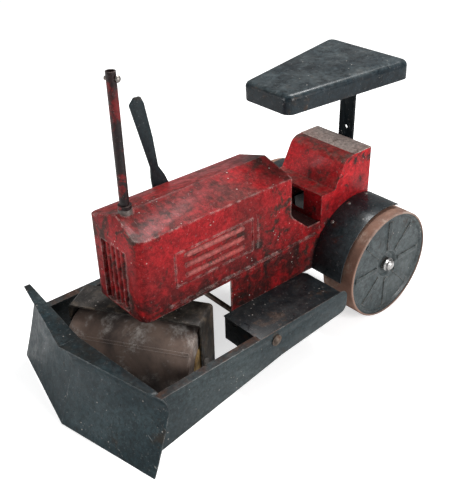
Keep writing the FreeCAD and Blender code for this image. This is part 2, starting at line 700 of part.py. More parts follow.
def make_steering():
    column = tube("steering_column", S["column_radius"], S["column_bore"], S["column_top"] - S["fork_top"],
                  vec(0, S["steer_line"], S["fork_top"]))
    pin_height = S["column_top"] - 9
    pin_hole = cylinder("column_pin_hole", 2.5, S["column_radius"] * 4, vec(0, 0, 0))
    pin_hole.Placement = steer_place(-S["column_radius"] * 2, 0, pin_height, ALONG_X)
    column.Label = "steering_column_blank"
    keep(cut("steering_column", column, pin_hole))
    shank = Part.makeCylinder(2.45, num(S["column_radius"]) * 2 + 4, vec(-S["column_radius"] - 2, 0, 0), X_AXIS)
    head = dome(4.6, 3.4, vec(S["column_radius"] + 2, 0, 0), X_AXIS)
    pin = group("handlebar_pin", [shank.fuse(head).removeSplitter()])
    pin.Placement = steer_place(0, 0, pin_height)
    keep(pin)
    keep(tube("column_collar", S["column_radius"] + 2.6, S["column_radius"], 5,
              vec(0, S["steer_line"], S["ridge_height"] + 4.6)))
    keep(tube("column_bush", S["column_radius"] + wall * 2, S["column_radius"] + S["fit_gap"], 10,
              vec(0, S["steer_line"], S["ridge_height"] - 5.7)))
    inner = S["hood_half"] - wall
    keep(flat_plate("bearing_bracket", "XY_Plane",
                    [(-inner, S["steer_line"] - 6), (-inner + 8, S["steer_line"] - 12),
                     (inner - 8, S["steer_line"] - 12), (inner, S["steer_line"] - 6),
                     (inner, S["steer_line"] + 22), (-inner, S["steer_line"] + 22)],
                    S["plate_wall"], S["bearing_height"],
                    [(0, S["steer_line"], S["column_radius"] + S["fit_gap"])]))


def make_fork():
    body = new_body("fork")
    thick = S["plate_wall"] * 0.8
    sketch = new_sketch(body, "XZ_Plane", S["fork_front"])
    outer, inner = S["fork_half"], S["fork_half"] - thick
    outline(sketch, [(-outer, S["fork_low"]), (-outer, S["fork_top"]), (outer, S["fork_top"]), (outer, S["fork_low"]),
                     (inner, S["fork_low"]), (inner, S["fork_top"] - thick), (-inner, S["fork_top"] - thick),
                     (-inner, S["fork_low"])])
    pad(body, sketch, S["fork_front"] + S["fork_rear"], reversed_way=True)
    hole = new_sketch(body, "YZ_Plane", -outer * 1.2)
    ring(hole, (0, S["roller_radius"]), S["roller_axle"])
    pocket(body, hole, outer * 2.4)
    fillet(body, lambda e: runs_along(e, Y_AXIS) and near(e.Vertexes[0].Z, S["fork_top"]), S["seat_round"] / 1.5)
    body.Placement = steer_place()
    return keep(body)


def make_roller():
    half = S["roller_half"]
    axle = cylinder("roller_axle", S["roller_axle"], S["fork_half"] * 2 + 8, vec(0, 0, 0))
    axle.Placement = steer_place(-S["fork_half"] - 4, 0, S["roller_radius"], ALONG_X)
    keep(axle)
    nuts = []
    for sign, name in SIDES:
        way = X_AXIS * sign
        nut = hexagon(11, 3.6, vec(S["fork_half"] * sign, 0, 0), way)
        nuts.append(nut.cut(Part.makeCylinder(num(S["roller_axle"]), 10, vec(S["fork_half"] * sign, 0, 0), way)))
    nut_group = group("roller_axle_nuts", nuts)
    nut_group.Placement = steer_place(0, 0, S["roller_radius"])
    keep(nut_group)

    drum = new_body("roller_drum")
    profile = new_sketch(drum, "XZ_Plane")
    skin = S["roller_radius"] - wall
    bore = S["plug_radius"]
    outline(profile, [(skin, wall - half), (bore, wall - half), (bore, -half), (S["roller_radius"] - 2, -half),
                      (S["roller_radius"], 2 - half), (S["roller_radius"], half - 2), (S["roller_radius"] - 2, half),
                      (bore, half), (bore, half - wall), (skin, half - wall)])
    revolve(drum, profile)
    drum.Placement = steer_place(0, 0, S["roller_radius"], ALONG_X)
    keep(drum)
    for sign, name in SIDES:
        plug = new_body("roller_plug_" + name)
        profile = new_sketch(plug, "XZ_Plane")
        hole = S["roller_axle"] + S["fit_gap"]
        outline(profile, [(hole, half - 22), (bore, half - 22), (bore, half + 0.6), (bore - 3, half + 2.2),
                          (hole, half + 2.2)])
        revolve(plug, profile)
        plug.Placement = steer_place(0, 0, S["roller_radius"], ALONG_X if sign > 0 else ALONG_MINUS_X)
        keep(plug)


# ---------------------------------------------------------------- V blade, arms and lift lever
def blade_profile(shift):
    """The blade's front face as a fore-and-aft curve, moved back by a shift."""
    lip = vec(0, S["blade_lip"] + shift, S["blade_top"])
    throat = vec(0, S["blade_waist"] - 3.6 + shift, (S["blade_top"] + S["blade_waist_height"]) / 2 + 3)
    waist = vec(0, S["blade_waist"] + shift, S["blade_waist_height"])
    shin = vec(0, (S["blade_waist"] + S["blade_toe"]) / 2 + 1.2 + shift, (S["blade_waist_height"] + S["blade_low"]) / 2)
    toe = vec(0, S["blade_toe"] + shift, S["blade_low"])
    return [Part.Arc(lip, throat, waist).toShape(), Part.Arc(waist, shin, toe).toShape()]


def blade_sheet(sign, thick):
    """One wing: the curved sheet, with the flange folded back along its top."""
    front = blade_profile(0)
    back = blade_profile(thick)
    loop = front + [Part.makeLine(front[1].Vertexes[1].Point, back[1].Vertexes[1].Point)]
    loop = loop + [back[1], back[0], Part.makeLine(back[0].Vertexes[0].Point, front[0].Vertexes[0].Point)]
    section = Part.Face(Part.Wire(Part.__sortEdges__(loop)))
    reach = num(S["blade_half"])
    run = vec(reach * sign, reach * num(S["blade_sweep"]), 0)
    wing = section.extrude(run)
    lip = num(S["blade_lip"])
    top = num(S["blade_top"])
    corners = [vec(0, lip, top - thick), vec(reach * sign, lip + run.y, top - thick),
               vec(reach * sign, lip + run.y + num(S["flange_end"]), top - thick),
               vec(0, lip + num(S["flange_centre"]), top - thick)]
    flange = Part.Face(Part.makePolygon(corners + corners[:1])).extrude(vec(0, 0, thick))
    wing = wing.fuse(flange).removeSplitter()
    # the upper outer corner is rounded off
    size = num(S["blade_corner"])
    block = Part.makeBox(size + 1, 80, size + 1, vec(0, 0, 0))
    rounding = Part.makeCylinder(size, 80, vec(0, 0, 0), Y_AXIS)
    corner = block.cut(rounding)
    if sign < 0:
        corner = corner.mirror(vec(0, 0, 0), X_AXIS)
    corner.translate(vec((reach - size) * sign, lip + run.y - 40, top - size))
    return wing.cut(corner)


def make_blade():
    thick = num(S["arm_wall"])
    for sign, name in SIDES:
        keep(group("blade_" + name, [blade_sheet(sign, thick)]))
    strap = []
    back = blade_profile(thick + 0.01)
    rear = blade_profile(thick * 2)
    loop = back + [Part.makeLine(back[1].Vertexes[1].Point, rear[1].Vertexes[1].Point)]
    loop = loop + [rear[1], rear[0], Part.makeLine(rear[0].Vertexes[0].Point, back[0].Vertexes[0].Point)]
    section = Part.Face(Part.Wire(Part.__sortEdges__(loop)))
    for sign in (1, -1):
        half_strap = section.extrude(vec(14 * sign, 14 * num(S["blade_sweep"]), 0))
        keep_low = Part.makeBox(60, 60, num(S["blade_top"]) - 20, vec(-30, num(S["blade_toe"]) - 5, num(S["blade_low"]) + 4))
        strap.append(half_strap.common(keep_low))
    keep(group("blade_seam_strap", [strap[0].fuse(strap[1]).removeSplitter()]))


def make_arms():
    """Arm webs with a flange folded inward along the top, from the blade to the footplate."""
    for sign, name in SIDES:
        web = new_body("arm_" + name)
        sketch = new_sketch(web, "YZ_Plane", (S["arm_outer"] - S["arm_wall"]) * sign)
        behind = S["arm_outer"] * S["blade_sweep"] + S["arm_wall"] * 2.1
        nose = S["blade_waist"] + behind
        foot = S["blade_toe"] + behind
        lean_low = (S["arm_nose_low"] - S["blade_low"]) / (S["blade_waist_height"] - S["blade_low"])
        low_y = foot + (nose - foot) * lean_low + 0.6
        outline(sketch, [(low_y, S["arm_nose_low"]), (S["pivot_line"] + 12, S["arm_mid_low"]),
                         (S["arm_rear"], S["arm_rear_low"]), (S["arm_rear"], S["arm_top"]), (nose, S["arm_top"])])
        ring(sketch, (S["pivot_line"], S["pivot_height"]), S["rod_radius"])
        pad(web, sketch, S["arm_wall"], reversed_way=sign < 0)
        edge = new_sketch(web, "XY_Plane", S["arm_top"] - S["arm_wall"])
        box_outline(edge, (S["arm_outer"] * sign, nose), ((S["arm_outer"] - S["arm_flange"]) * sign, S["foot_front"] - 3))
        pad(web, edge, S["arm_wall"])
        fillet(web, lambda e: runs_along(e, X_AXIS) and near(e.Vertexes[0].Y, S["arm_rear"]), S["arm_round"])
        keep(web)
    reach = S["arm_outer"] + 1.5
    keep(cylinder("lift_rod", S["rod_radius"], reach * 2, vec(-reach, S["pivot_line"], S["pivot_height"]), ALONG_X))
    washers = []
    heads = []
    for sign, name in SIDES:
        way = X_AXIS * sign
        start = vec(S["arm_outer"] * sign, S["pivot_line"], S["pivot_height"])
        disc = Part.makeCylinder(8.5, 1.5, start, way)
        washers.append(disc.cut(Part.makeCylinder(num(S["rod_radius"]), 1.5, start, way)))
        heads.append(dome(6.4, 3.6, vec(reach * sign, S["pivot_line"], S["pivot_height"]), way))
    keep(group("pivot_washers", washers))
    keep(group("pivot_rivet_heads", heads))


def make_lever():
    """A flat lever keyed to the rod, leaning forward a little as it rises beside the hood."""
    foot_y, foot_z = S["pivot_line"], S["pivot_height"]
    body = new_body("lift_lever")
    sketch = new_sketch(body, "YZ_Plane", S["lever_line"])
    neck, top = S["lever_neck"], S["lever_top"]
    outline(sketch, [(foot_y - 12, foot_z - 10), (foot_y + 12, foot_z - 10), (foot_y + 13, foot_z + 30),
                     (foot_y - 22, neck - 30), (foot_y - 28, neck - 16), (foot_y - 37.5, neck),
                     (foot_y - 43, neck + 45), (foot_y - 52.5, top - 10), (foot_y - 57, top),
                     (foot_y - 67, top), (foot_y - 75, top - 9),
                     (foot_y - 61.5, neck + 45), (foot_y - 50, neck), (foot_y - 50.5, neck - 16),
                     (foot_y - 49, neck - 32), (foot_y - 14, foot_z + 30)])
    ring(sketch, (foot_y, foot_z), S["rod_radius"])
    pad(body, sketch, S["lever_thick"], reversed_way=True)
    fillet(body, lambda e: runs_along(e, X_AXIS) and e.Vertexes[0].Z > num(top) - 12, S["seat_round"] / 2.6)
    keep(body)
    start = S["lever_line"] - S["lever_thick"]
    keep(tube("lever_collar", S["rod_radius"] * 2, S["rod_radius"], 6, vec(start, foot_y, foot_z), ALONG_MINUS_X))


for build in (make_hood, make_grille, make_bulkheads, make_seat_box, make_strut, make_seat, make_footplates,
              make_fenders, make_axle, make_wheels, make_steering, make_fork, make_roller, make_blade, make_arms,
              make_lever):
    build()
doc.recompute()

# ---------------------------------------------------------------- check and write
for item in doc.Objects:
    if "Invalid" in item.State or "Error" in item.State:
        raise RuntimeError("%s failed: %s" % (item.Label, item.State))
names = [item.Label for item in parts]
if len(set(names)) != len(names):
    raise RuntimeError("two sub-parts share a name")
os.makedirs("parts", exist_ok=True)
for item in parts:
    if item.Shape.isNull() or not item.Shape.isValid():
        raise RuntimeError("%s has no valid shape" % item.Label)
    item.Shape.exportStep(os.path.join("parts", item.Label + ".step"))
    print("%-24s %2d solids %9.0f mm3" % (item.Label, len(item.Shape.Solids), item.Shape.Volume))
print(len(parts), "sub-parts")
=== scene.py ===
import json
from math import cos, pi, radians, sin

import bmesh
import bpy
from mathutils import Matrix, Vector

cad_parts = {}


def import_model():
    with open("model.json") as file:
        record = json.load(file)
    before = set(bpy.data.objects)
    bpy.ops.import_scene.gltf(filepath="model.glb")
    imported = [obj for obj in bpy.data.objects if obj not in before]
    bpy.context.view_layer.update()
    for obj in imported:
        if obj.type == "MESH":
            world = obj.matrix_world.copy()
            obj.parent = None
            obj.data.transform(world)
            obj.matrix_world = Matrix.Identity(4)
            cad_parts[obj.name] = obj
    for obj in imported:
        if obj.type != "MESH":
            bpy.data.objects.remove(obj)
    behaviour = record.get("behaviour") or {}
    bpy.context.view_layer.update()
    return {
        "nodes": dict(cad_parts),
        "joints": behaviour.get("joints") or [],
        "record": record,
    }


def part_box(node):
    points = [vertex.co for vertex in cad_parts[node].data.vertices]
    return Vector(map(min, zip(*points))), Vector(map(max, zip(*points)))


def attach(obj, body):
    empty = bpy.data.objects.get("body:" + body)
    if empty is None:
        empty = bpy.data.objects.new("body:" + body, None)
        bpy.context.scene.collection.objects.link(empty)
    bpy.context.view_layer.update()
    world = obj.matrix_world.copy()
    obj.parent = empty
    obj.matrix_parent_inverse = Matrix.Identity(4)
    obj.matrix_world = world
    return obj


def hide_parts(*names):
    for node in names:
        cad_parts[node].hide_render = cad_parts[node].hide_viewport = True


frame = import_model()
scene = bpy.context.scene
MM = 0.001

BARE = (0.30, 0.29, 0.28)
RUST = (0.115, 0.048, 0.024)
DUST = (0.23, 0.20, 0.175)
SPECK = (0.62, 0.57, 0.52)
PIT = (0.45, 0.42, 0.40)
RUBBED_RUST = (0.40, 0.34, 0.30)
BLACK = (0.0, 0.0, 0.0)
WHITE = (1.0, 1.0, 1.0, 1.0)

SCRATCH_SCALE = (38.0, 900.0, 150.0)
SCRATCH_TURN = (0.4, 0.3, 0.9)
WOOD_GRAIN_SCALE = (180.0, 180.0, 40.0)
COAT_ROUGHNESS = 0.16
EDGE_SAMPLES = 4


# ---------------------------------------------------------------- material helpers
class Shader:
    """A node tree with short helpers; every pattern is read from Object coordinates."""

    def __init__(self, name):
        self.material = bpy.data.materials.new(name)
        self.material.use_nodes = True
        self.tree = self.material.node_tree
        self.tree.nodes.clear()
        self.output = self.tree.nodes.new("ShaderNodeOutputMaterial")
        self.place = self.tree.nodes.new("ShaderNodeTexCoord").outputs["Object"]

    def put(self, socket, value):
        """Link a socket to another, or set its own value; a colour of three gets its alpha."""
        if isinstance(value, bpy.types.NodeSocket):
            self.tree.links.new(value, socket)
        elif socket.type == "RGBA" and len(value) == 3:
            socket.default_value = (*value, 1.0)
        else:
            socket.default_value = value

    def node(self, kind, inputs, **settings):
        """A new node with its settings made and its inputs filled."""
        node = self.tree.nodes.new(kind)
        for key, value in settings.items():
            setattr(node, key, value)
        for key, value in inputs.items():
            self.put(node.inputs[key], value)
        return node

    def mapped(self, scale, turn=(0.0, 0.0, 0.0)):
        inputs = {"Vector": self.place, "Scale": scale, "Rotation": turn}
        return self.node("ShaderNodeMapping", inputs).outputs["Vector"]

    def noise(self, scale, detail=6.0, rough=0.6, distort=0.0, where=None, seed=0.0):
        inputs = {"Vector": where or self.place, "W": seed, "Scale": scale, "Detail": detail,
                  "Roughness": rough, "Distortion": distort}
        return self.node("ShaderNodeTexNoise", inputs, noise_dimensions="4D").outputs["Fac"]

    def cells(self, scale):
        inputs = {"Vector": self.place, "Scale": scale}
        return self.node("ShaderNodeTexVoronoi", inputs).outputs["Distance"]

    def ramp(self, value, low, high, out_low=0.0, out_high=1.0):
        inputs = {"Value": value, "From Min": low, "From Max": high, "To Min": out_low, "To Max": out_high}
        return self.node("ShaderNodeMapRange", inputs, interpolation_type="SMOOTHSTEP").outputs["Result"]

    def plus(self, first, second):
        node = self.node("ShaderNodeMath", {0: first, 1: second}, operation="ADD", use_clamp=True)
        return node.outputs[0]

    def times(self, first, second):
        node = self.node("ShaderNodeMath", {0: first, 1: second}, operation="MULTIPLY", use_clamp=True)
        return node.outputs[0]

    def mix(self, amount, first, second):
        """The first colour at 0, the second at 1."""
        node = self.tree.nodes.new("ShaderNodeMix")
        node.data_type = "RGBA"
        self.put(node.inputs["Factor"], amount)
        self.put(node.inputs["A"], first)
        self.put(node.inputs["B"], second)
        return node.outputs["Result"]

    def height(self):
        return self.node("ShaderNodeSeparateXYZ", {0: self.place}).outputs["Z"]

    def edge(self, radius):
        """1 on sharp edges, 0 on open faces."""
        bevel = self.node("ShaderNodeBevel", {"Radius": radius}, samples=EDGE_SAMPLES)
        geometry = self.tree.nodes.new("ShaderNodeNewGeometry")
        dot = self.node("ShaderNodeVectorMath", {0: bevel.outputs["Normal"], 1: geometry.outputs["Normal"]},
                        operation="DOT_PRODUCT")
        return self.ramp(dot.outputs["Value"], 0.99, 0.86)

    def upward(self, low=0.5, high=0.95):
        """1 on faces that look up."""
        geometry = self.tree.nodes.new("ShaderNodeNewGeometry")
        parts = self.node("ShaderNodeSeparateXYZ", {0: geometry.outputs["Normal"]})
        return self.ramp(parts.outputs["Z"], low, high)

    def bump(self, height, strength, distance, under=None):
        inputs = {"Height": height, "Strength": strength, "Distance": distance}
        if under is not None:
            inputs["Normal"] = under
        return self.node("ShaderNodeBump", inputs).outputs["Normal"]

    def finish(self, color, rough, normal, metal=0.0, coat=0.0, shine=0.28):
        inputs = {"Base Color": color, "Roughness": rough, "Metallic": metal, "Coat Weight": coat,
                  "Coat Roughness": COAT_ROUGHNESS, "Specular IOR Level": shine, "Normal": normal}
        bsdf = self.node("ShaderNodeBsdfPrincipled", inputs)
        self.tree.links.new(bsdf.outputs["BSDF"], self.output.inputs["Surface"])
        return self.material


def worn_paint(name, base, faded, under, patches, chips, rough=0.42, dust=0.0, specks=0.0, chip_and_highlight_color=BARE,
               low_dirt=None, seed=0.0, scratches=0.6, top_wear_and_sheen=None, shine=0.24, waves=0.0, edge_width=1.4):
    """Old enamel: faded in clouds, worn to what lies under it in patches, chipped along its edges.

    low_dirt is (full below, none above, color, amount). The colour for faces that look up is (color, amount) too,
    laid in patches: the finish's own wear, rust and dust on most parts, and a painted sheen on the seat.
    waves is the depth of the dents in metres, edge_width the reach of the pale edge band in millimetres: chipped
    paint, and on the hood and louvres partly a painted highlight along the rounded edges.
    """
    s = Shader(name)
    clouds = s.noise(7.0, detail=8.0, rough=0.62, distort=0.6, seed=seed)
    fine = s.noise(46.0, detail=10.0, rough=0.72, distort=0.8, seed=seed + 3.0)
    broad = s.noise(13.0, detail=6.0, rough=0.6, distort=1.2, seed=seed + 7.0)
    worn = s.ramp(s.plus(s.times(fine, 0.55), s.times(broad, 0.55)), 0.66 - 0.14 * patches, 0.72 - 0.12 * patches)
    color = s.mix(s.ramp(clouds, 0.38, 0.68), base, faded)
    color = s.mix(worn, color, under)
    if low_dirt is not None:
        full_below, none_above, dirt, amount = low_dirt
        falling = s.ramp(s.height(), none_above, full_below, 0.0, amount)
        color = s.mix(s.times(falling, s.ramp(fine, 0.34, 0.6)), color, dirt)
    # Colour on faces that look up, in patches: the finish's own wear, rust and dust, and on the seat a painted
    # sheen.
    if top_wear_and_sheen is not None:
        coat, amount = top_wear_and_sheen
        wear_and_sheen_patches = s.ramp(s.plus(s.times(fine, 0.6), s.times(broad, 0.4)), 0.40, 0.60)
        color = s.mix(s.times(s.times(s.upward(0.4, 0.8), wear_and_sheen_patches), amount), color, coat)
    if dust > 0.0:
        drifts = s.noise(24.0, detail=9.0, rough=0.7, distort=0.4, seed=seed + 11.0)
        settled = s.times(s.upward(), s.ramp(drifts, 0.4, 0.75))
        color = s.mix(s.times(settled, dust), color, DUST)
    if specks > 0.0:
        dots = s.times(s.ramp(s.cells(125.0), 0.15, 0.09), s.ramp(s.noise(31.0, seed=seed + 5.0), 0.52, 0.60))
        color = s.mix(s.times(dots, specks), color, SPECK)
    lines = s.noise(1.0, detail=3.0, rough=0.5, where=s.mapped(SCRATCH_SCALE, SCRATCH_TURN), seed=seed)
    scratch = s.times(s.ramp(lines, 0.66, 0.72), s.ramp(broad, 0.5, 0.62))
    color = s.mix(s.times(scratch, scratches), color, chip_and_highlight_color)
    # Pale band along sharp edges: chipped paint, and on the hood and louvres partly a painted highlight.
    flakes_and_highlight = s.ramp(s.noise(95.0, detail=6.0, rough=0.7, seed=seed + 2.0), 0.62 - 0.24 * chips, 0.66)
    color = s.mix(s.times(s.times(s.edge(edge_width * MM), flakes_and_highlight), 0.85), color, chip_and_highlight_color)
    grain = s.ramp(s.noise(150.0, detail=8.0, rough=0.85, seed=seed + 13.0), 0.38, 0.60)
    color = s.mix(s.times(grain, 0.75), color, s.mix(0.80, color, BLACK))
    pits = s.ramp(s.noise(230.0, detail=5.0, rough=0.8, seed=seed + 17.0), 0.58, 0.68)
    color = s.mix(s.times(pits, 0.7), color, s.mix(0.35, color, PIT))
    gloss = s.ramp(fine, 0.3, 0.7, rough - 0.1, rough + 0.2)
    relief = s.plus(s.times(worn, -0.35), s.times(fine, 0.6))
    normal = s.bump(relief, 0.5, 0.7 * MM)
    if waves > 0.0:
        dents = s.noise(9.0, detail=2.0, rough=0.5, distort=0.3, seed=seed + 21.0)
        normal = s.bump(dents, 1.0, waves, normal)
    return s.finish(color, gloss, normal, coat=0.03, shine=shine)


def bare_metal(name, base, dark, rough=0.45, metal=0.85, rust=0.3):
    """Dull or polished steel, with a little rust in spots."""
    s = Shader(name)
    grain = s.noise(60.0, detail=8.0, rough=0.7, distort=0.5)
    spots = s.noise(33.0, detail=8.0, rough=0.7, distort=1.0, seed=4.0)
    color = s.mix(s.ramp(grain, 0.35, 0.65), base, dark)
    color = s.mix(s.ramp(spots, 0.62 - 0.2 * rust, 0.7), color, RUST)
    gloss = s.ramp(grain, 0.3, 0.7, rough - 0.1, rough + 0.2)
    return s.finish(color, gloss, s.bump(grain, 0.3, 0.4 * MM), metal=metal)


def rusted(name, base, dark, pale, seed=0.0):
    """Steel rusted brown all over, paler in worn patches that on the roller are partly a painted highlight."""
    s = Shader(name)
    broad = s.noise(11.0, detail=9.0, rough=0.68, distort=0.9, seed=seed)
    grit = s.noise(130.0, detail=8.0, rough=0.75, seed=seed + 1.0)
    wear = s.noise(17.0, detail=9.0, rough=0.74, distort=0.5, seed=seed + 5.0)
    color = s.mix(s.ramp(broad, 0.36, 0.66), base, dark)
    wear_and_sheen_patches = s.times(s.ramp(wear, 0.5, 0.66), s.ramp(grit, 0.38, 0.56))
    color = s.mix(s.times(wear_and_sheen_patches, 0.75), color, pale)
    color = s.mix(s.times(s.edge(1.6 * MM), 0.6), color, RUBBED_RUST)
    relief = s.plus(s.times(grit, 0.5), s.times(broad, 0.5))
    return s.finish(color, s.ramp(grit, 0.3, 0.7, 0.5, 0.82), s.bump(relief, 0.5, 0.8 * MM), metal=0.15)


def turned_wood(name):
    s = Shader(name)
    rings = s.noise(1.0, detail=5.0, rough=0.6, distort=0.4, where=s.mapped(WOOD_GRAIN_SCALE))
    color = s.mix(s.ramp(rings, 0.35, 0.65), (0.44, 0.29, 0.11), (0.23, 0.13, 0.05))
    color = s.mix(s.ramp(s.noise(60.0, detail=8.0), 0.5, 0.7), color, (0.12, 0.08, 0.05))
    return s.finish(color, 0.75, s.bump(rings, 0.4, 0.5 * MM))


# ---------------------------------------------------------------- materials
# Hood red: the wide band of pale chip colour along the edges (edge_width 4 mm) is chipped paint and partly a
# painted highlight along the rounded eaves.
HOOD_RED = worn_paint(
    "hood_red", base=(0.400, 0.014, 0.018), faded=(0.200, 0.016, 0.016), under=(0.070, 0.026, 0.020),
    patches=0.60, chips=0.95, rough=0.40, dust=0.12, specks=0.9, chip_and_highlight_color=(0.60, 0.46, 0.42),
    low_dirt=(0.139, 0.240, (0.022, 0.012, 0.011), 0.92), seed=0.0,
    top_wear_and_sheen=((0.088, 0.024, 0.021), 0.8), shine=0.105, waves=1.2 * MM, edge_width=4.0)
BOX_RED = worn_paint(
    "seat_box_red", base=(0.620, 0.014, 0.020), faded=(0.250, 0.012, 0.015), under=(0.050, 0.022, 0.020),
    patches=0.55, chips=0.7, rough=0.38, dust=0.30, specks=0.5, chip_and_highlight_color=(0.50, 0.36, 0.33), seed=5.0,
    top_wear_and_sheen=((0.25, 0.12, 0.10), 0.8), shine=0.18, waves=0.8 * MM, edge_width=2.2)
# Louvre red: a paler, pinker copy of the hood red with pale chips, standing partly for dust and wear and partly
# for a painted highlight on the tops of the louvre bars.
LOUVRE_RED_DUST_AND_HIGHLIGHT = worn_paint(
    "louvre_red", base=(0.460, 0.062, 0.056), faded=(0.470, 0.150, 0.136), under=(0.110, 0.040, 0.032),
    patches=0.45, chips=0.9, rough=0.40, dust=0.20, specks=0.8, chip_and_highlight_color=(0.66, 0.54, 0.50), seed=21.0,
    shine=0.2)
LID_PAINT = worn_paint(
    "worn_lid", base=(0.560, 0.350, 0.300), faded=(0.740, 0.600, 0.545), under=(0.220, 0.130, 0.105),
    patches=0.55, chips=0.8, rough=0.50, dust=0.25, specks=0.3, chip_and_highlight_color=(0.62, 0.54, 0.49), seed=7.0,
    shine=0.2)
# Inner red: a near-black copy of the red paint for the bulkhead, footwell floor, crossmember and rear panel,
# painted shade for the insides of the body.
INNER_RED_PAINTED_SHADE = worn_paint(
    "inner_red_painted_shade", base=(0.060, 0.006, 0.007), faded=(0.028, 0.006, 0.006), under=(0.020, 0.012, 0.010),
    patches=0.6, chips=0.3, rough=0.55, dust=0.1, specks=0.2, chip_and_highlight_color=(0.20, 0.13, 0.11), seed=9.0)
BLADE_PAINT = worn_paint(
    "blade_grey", base=(0.012, 0.026, 0.032), faded=(0.036, 0.059, 0.067), under=(0.030, 0.026, 0.021),
    patches=0.35, chips=0.9, rough=0.36, dust=0.10, specks=0.7, chip_and_highlight_color=(0.30, 0.30, 0.29), seed=2.0,
    scratches=1.0, top_wear_and_sheen=((0.018, 0.017, 0.015), 0.9), shine=0.19, waves=5.0 * MM)
ARM_PAINT = worn_paint(
    "arm_grey", base=(0.023, 0.037, 0.042), faded=(0.050, 0.069, 0.073), under=(0.036, 0.032, 0.027),
    patches=0.30, chips=0.9, rough=0.36, dust=0.05, specks=0.6, chip_and_highlight_color=(0.32, 0.32, 0.30), seed=2.0,
    scratches=1.0, top_wear_and_sheen=((0.075, 0.034, 0.020), 0.95), waves=2.0 * MM)
BLACK_PAINT = worn_paint(
    "black_enamel", base=(0.006, 0.010, 0.013), faded=(0.018, 0.025, 0.029), under=(0.045, 0.026, 0.018),
    patches=0.40, chips=0.8, rough=0.34, dust=0.15, specks=0.9, chip_and_highlight_color=(0.24, 0.21, 0.19), seed=3.0)
FENDER_PAINT = worn_paint(
    "fender_black", base=(0.010, 0.017, 0.022), faded=(0.034, 0.045, 0.050), under=(0.060, 0.022, 0.018),
    patches=0.40, chips=0.9, rough=0.30, dust=0.10, specks=1.0, chip_and_highlight_color=(0.28, 0.24, 0.22), seed=15.0,
    scratches=0.9, shine=0.3, waves=2.0 * MM)
STRUT_PAINT = worn_paint(
    "strut_black", base=(0.002, 0.005, 0.007), faded=(0.005, 0.010, 0.013), under=(0.014, 0.011, 0.009),
    patches=0.30, chips=0.6, rough=0.46, specks=0.3, chip_and_highlight_color=(0.20, 0.18, 0.17), seed=18.0,
    scratches=0.4, shine=0.05)
FORK_PAINT = worn_paint(
    "fork_black", base=(0.010, 0.010, 0.010), faded=(0.024, 0.020, 0.016), under=(0.075, 0.055, 0.038),
    patches=0.9, chips=0.9, rough=0.50, dust=0.45, specks=0.7, chip_and_highlight_color=(0.30, 0.26, 0.22), seed=6.0,
    shine=0.3, waves=7.0 * MM)
# Seat black: the paler blue-grey laid in patches on the faces that look up is a painted sheen on the seat top.
SEAT_PAINT = worn_paint(
    "seat_black", base=(0.005, 0.012, 0.017), faded=(0.026, 0.040, 0.050), under=(0.040, 0.024, 0.016),
    patches=0.35, chips=0.5, rough=0.30, dust=0.08, specks=0.7, chip_and_highlight_color=(0.26, 0.20, 0.16), seed=12.0,
    scratches=0.4, top_wear_and_sheen=((0.078, 0.102, 0.110), 0.6), waves=1.5 * MM)
COLUMN_PAINT = worn_paint(
    "column_black_over_red", base=(0.010, 0.009, 0.010), faded=(0.028, 0.009, 0.009),
    under=(0.20, 0.010, 0.011), patches=0.60, chips=0.8, rough=0.36, specks=0.3,
    chip_and_highlight_color=(0.28, 0.20, 0.18), seed=8.0)
LEVER_PAINT = worn_paint(
    "lever_green_black", base=(0.012, 0.022, 0.027), faded=(0.026, 0.040, 0.046), under=(0.026, 0.022, 0.020),
    patches=0.3, chips=0.5, rough=0.40, specks=0.3, chip_and_highlight_color=(0.22, 0.21, 0.20), seed=10.0)
DISC_PAINT = worn_paint(
    "wheel_grey", base=(0.040, 0.054, 0.058), faded=(0.088, 0.106, 0.109), under=(0.050, 0.036, 0.028),
    patches=0.50, chips=1.0, rough=0.40, specks=1.0, chip_and_highlight_color=(0.48, 0.43, 0.38), seed=4.0)
TREAD_RUST = rusted("tread_rust", base=(0.270, 0.145, 0.102), dark=(0.125, 0.072, 0.055),
                    pale=(0.46, 0.37, 0.31))
# Roller rust: the pale patches are partly worn rust and partly a painted highlight on the drum.
ROLLER_RUST = rusted("roller_rust", base=(0.160, 0.112, 0.090), dark=(0.053, 0.041, 0.037),
                     pale=(0.48, 0.45, 0.42), seed=3.0)
STEEL = bare_metal("dull_steel", base=(0.30, 0.28, 0.26), dark=(0.14, 0.125, 0.115))
NUT_STEEL = bare_metal("cap_nut_steel", base=(0.52, 0.51, 0.50), dark=(0.30, 0.28, 0.27),
                       rough=0.32, metal=0.95, rust=0.0)
BROWN_STEEL = bare_metal("browned_steel", base=(0.16, 0.125, 0.10), dark=(0.08, 0.06, 0.048),
                         rough=0.5, metal=0.6, rust=0.6)
WOOD = turned_wood("turned_wood")

# What a node is finished in: by its own name first, else by the slot it has in the record.
FINISH = {
    "hood_bulkhead": INNER_RED_PAINTED_SHADE, "footwell_floor": INNER_RED_PAINTED_SHADE, "chassis_crossmember": INNER_RED_PAINTED_SHADE,
    "chassis_rear_panel": INNER_RED_PAINTED_SHADE, "seat_box": BOX_RED, "seat_box_lid": LID_PAINT,
    "hood_shell": HOOD_RED, "grille_panel": HOOD_RED, "arm_left": ARM_PAINT, "arm_right": ARM_PAINT,
    "fender_left": FENDER_PAINT, "fender_right": FENDER_PAINT, "seat_strut": STRUT_PAINT,
    "seat_pan": SEAT_PAINT, "steering_column": COLUMN_PAINT, "column_collar": COLUMN_PAINT,
    "fork": FORK_PAINT, "lift_lever": LEVER_PAINT, "lever_collar": BROWN_STEEL,
    "pivot_washers": BROWN_STEEL, "pivot_rivet_heads": BROWN_STEEL, "lift_rod": BROWN_STEEL,
    "roller_drum": ROLLER_RUST, "roller_plug_left": WOOD, "roller_plug_right": WOOD,
    "cap_nut_left": NUT_STEEL, "cap_nut_right": NUT_STEEL,
}
